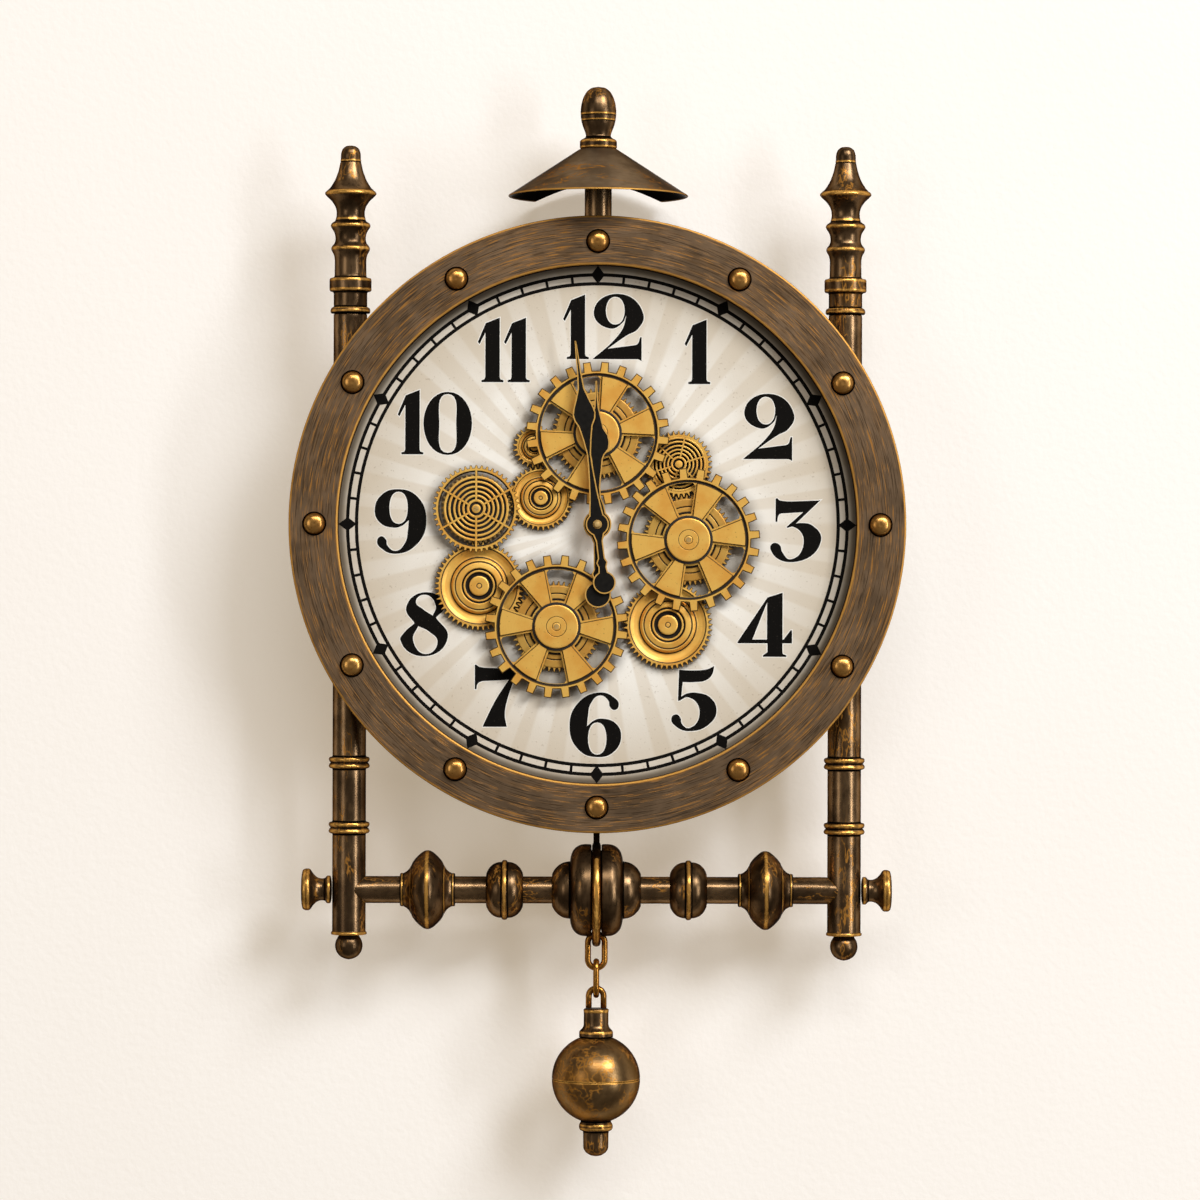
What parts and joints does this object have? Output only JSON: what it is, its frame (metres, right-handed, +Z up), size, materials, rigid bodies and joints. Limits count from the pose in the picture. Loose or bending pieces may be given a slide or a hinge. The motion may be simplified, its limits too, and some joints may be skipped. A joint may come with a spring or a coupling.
{
  "type": "gear wall clock",
  "caption": "Round wall clock with a riveted rim, an open gear train on its dial, side columns, a crossbar of turned beads, a cone roof and a hanging ball.",
  "frame": {"origin": "on the wall plane, on the rear flange of the drum, above the centre of the dial", "axes": "+Z up, +X to the right seen from the front, +Y towards the wall; the dial faces -Y"},
  "size_m": [0.5446, 0.1429, 0.9516],
  "materials": {
    "bronze_sheet": "antique bronze lacquer with golden edges, satin",
    "bronze_cast": "cast and turned, antique bronze lacquer, satin",
    "gear_brass": "bright brass, satin",
    "printed_dial": "printed cream, matt",
    "black_hand": "black satin",
    "black_plastic": "moulded",
    "steel": "plain",
    "battery": "plain sleeve"
  },
  "bodies": {
    "frame": {"bezel_ring": "bronze_sheet", "drum_flange": "bronze_sheet", "rear_drum": "bronze_sheet", "left_column": "bronze_sheet", "right_column": "bronze_sheet", "crossbar_rod": "bronze_sheet", "crossbar_hanger": "bronze_sheet", "roof_stem": "bronze_sheet", "roof_cone": "bronze_sheet", "left_column_finial": "bronze_cast", "right_column_finial": "bronze_cast", "left_foot_ball": "bronze_cast", "right_foot_ball": "bronze_cast", "left_disc_bead": "bronze_cast", "right_disc_bead": "bronze_cast", "left_round_bead": "bronze_cast", "right_round_bead": "bronze_cast", "centre_bead": "bronze_cast", "left_end_knob": "bronze_cast", "right_end_knob": "bronze_cast", "roof_finial": "bronze_cast", "left_upper_clamp": "black_plastic", "right_upper_clamp": "black_plastic", "left_lower_clamp": "black_plastic", "right_lower_clamp": "black_plastic", "stem_clamp": "black_plastic", "movement_case": "black_plastic", "gear_motor_case": "black_plastic", "movement_nut": "gear_brass", "hanger_plate": "steel", "dial_plate": "printed_dial", "movement_battery": "battery"},
    "hour": {"hour_hand": "black_hand", "hour_cannon": "gear_brass"},
    "minute": {"minute_hand": "black_hand", "minute_arbor": "gear_brass"},
    "setting_knob_body": {"setting_knob": "black_plastic"},
    "top_wheel_set": {"top_wheel": "gear_brass", "top_pinion": "gear_brass", "top_arbor": "steel"},
    "right_wheel_set": {"right_wheel": "gear_brass", "right_pinion": "gear_brass", "right_arbor": "steel"},
    "bottom_wheel_set": {"bottom_wheel": "gear_brass", "bottom_pinion": "gear_brass", "bottom_arbor": "steel"},
    "idler": {"idler_gear": "gear_brass"},
    "small_dish": {"small_dish_gear": "gear_brass"},
    "left_ring": {"left_ring_gear": "gear_brass", "left_ring_pinion": "gear_brass"},
    "left_dish": {"left_dish_gear": "gear_brass"},
    "right_ring": {"right_ring_gear": "gear_brass"},
    "right_dish": {"right_dish_gear": "gear_brass"},
    "upper_link_body": {"upper_link": "bronze_sheet"},
    "lower_link_body": {"lower_link": "bronze_sheet"},
    "bob": {"bob_bail": "bronze_sheet", "bob_cap": "bronze_cast", "bob_upper_half": "bronze_sheet", "bob_lower_half": "bronze_sheet"}
  },
  "joints": [
    {"name": "minute_hand_spin", "type": "hinge", "parent": "frame", "child": "minute", "pos_m": [0, -0.091, -0.175], "axis": [0, 1, 0], "continuous": true},
    {"name": "hour_hand_spin", "type": "hinge", "parent": "frame", "child": "hour", "pos_m": [0, -0.091, -0.175], "axis": [0, 1, 0], "continuous": true},
    {"name": "setting_knob_spin", "type": "hinge", "parent": "frame", "child": "setting_knob_body", "pos_m": [0, -0.091, -0.161], "axis": [0, 1, 0], "continuous": true},
    {"name": "top_wheel_spin", "type": "hinge", "parent": "frame", "child": "top_wheel_set", "pos_m": [0, -0.091, -0.0945], "axis": [0, 1, 0], "continuous": true},
    {"name": "right_wheel_spin", "type": "hinge", "parent": "frame", "child": "right_wheel_set", "pos_m": [0.0805, -0.091, -0.18842], "axis": [0, 1, 0], "continuous": true},
    {"name": "bottom_wheel_spin", "type": "hinge", "parent": "frame", "child": "bottom_wheel_set", "pos_m": [-0.03587, -0.091, -0.26527], "axis": [0, 1, 0], "continuous": true},
    {"name": "idler_spin", "type": "hinge", "parent": "frame", "child": "idler", "pos_m": [-0.05579, -0.091, -0.10616], "axis": [0, 1, 0], "continuous": true},
    {"name": "small_dish_spin", "type": "hinge", "parent": "frame", "child": "small_dish", "pos_m": [-0.05014, -0.091, -0.15155], "axis": [0, 1, 0], "continuous": true},
    {"name": "left_ring_spin", "type": "hinge", "parent": "frame", "child": "left_ring", "pos_m": [-0.10706, -0.091, -0.16129], "axis": [0, 1, 0], "continuous": true},
    {"name": "left_dish_spin", "type": "hinge", "parent": "frame", "child": "left_dish", "pos_m": [-0.10433, -0.091, -0.22948], "axis": [0, 1, 0], "continuous": true},
    {"name": "right_ring_spin", "type": "hinge", "parent": "frame", "child": "right_ring", "pos_m": [0.07181, -0.091, -0.12148], "axis": [0, 1, 0], "continuous": true},
    {"name": "right_dish_spin", "type": "hinge", "parent": "frame", "child": "right_dish", "pos_m": [0.0626, -0.091, -0.26357], "axis": [0, 1, 0], "continuous": true},
    {"name": "chain_swing", "type": "hinge", "parent": "frame", "child": "upper_link_body", "pos_m": [0, -0.063, -0.5462], "axis": [0, 1, 0], "range_deg": [-25, 25]},
    {"name": "link_swing", "type": "hinge", "parent": "upper_link_body", "child": "lower_link_body", "pos_m": [0, -0.063, -0.5689], "axis": [1, 0, 0], "range_deg": [-25, 12]},
    {"name": "bob_swing", "type": "hinge", "parent": "lower_link_body", "child": "bob", "pos_m": [0, -0.063, -0.5931], "axis": [0, 1, 0], "range_deg": [-25, 25]}
  ],
  "couplings": [
    {"joint": "hour_hand_spin", "follows": "minute_hand_spin", "ratio": 0.083333},
    {"joint": "setting_knob_spin", "follows": "minute_hand_spin", "ratio": -0.33333},
    {"joint": "right_wheel_spin", "follows": "top_wheel_spin", "ratio": -1},
    {"joint": "bottom_wheel_spin", "follows": "top_wheel_spin", "ratio": -1},
    {"joint": "idler_spin", "follows": "top_wheel_spin", "ratio": -2.1667},
    {"joint": "small_dish_spin", "follows": "top_wheel_spin", "ratio": 1.4054},
    {"joint": "left_ring_spin", "follows": "top_wheel_spin", "ratio": -1.3},
    {"joint": "left_dish_spin", "follows": "top_wheel_spin", "ratio": 1.0196},
    {"joint": "right_ring_spin", "follows": "top_wheel_spin", "ratio": 1.3684},
    {"joint": "right_dish_spin", "follows": "top_wheel_spin", "ratio": 1.0196}
  ]
}
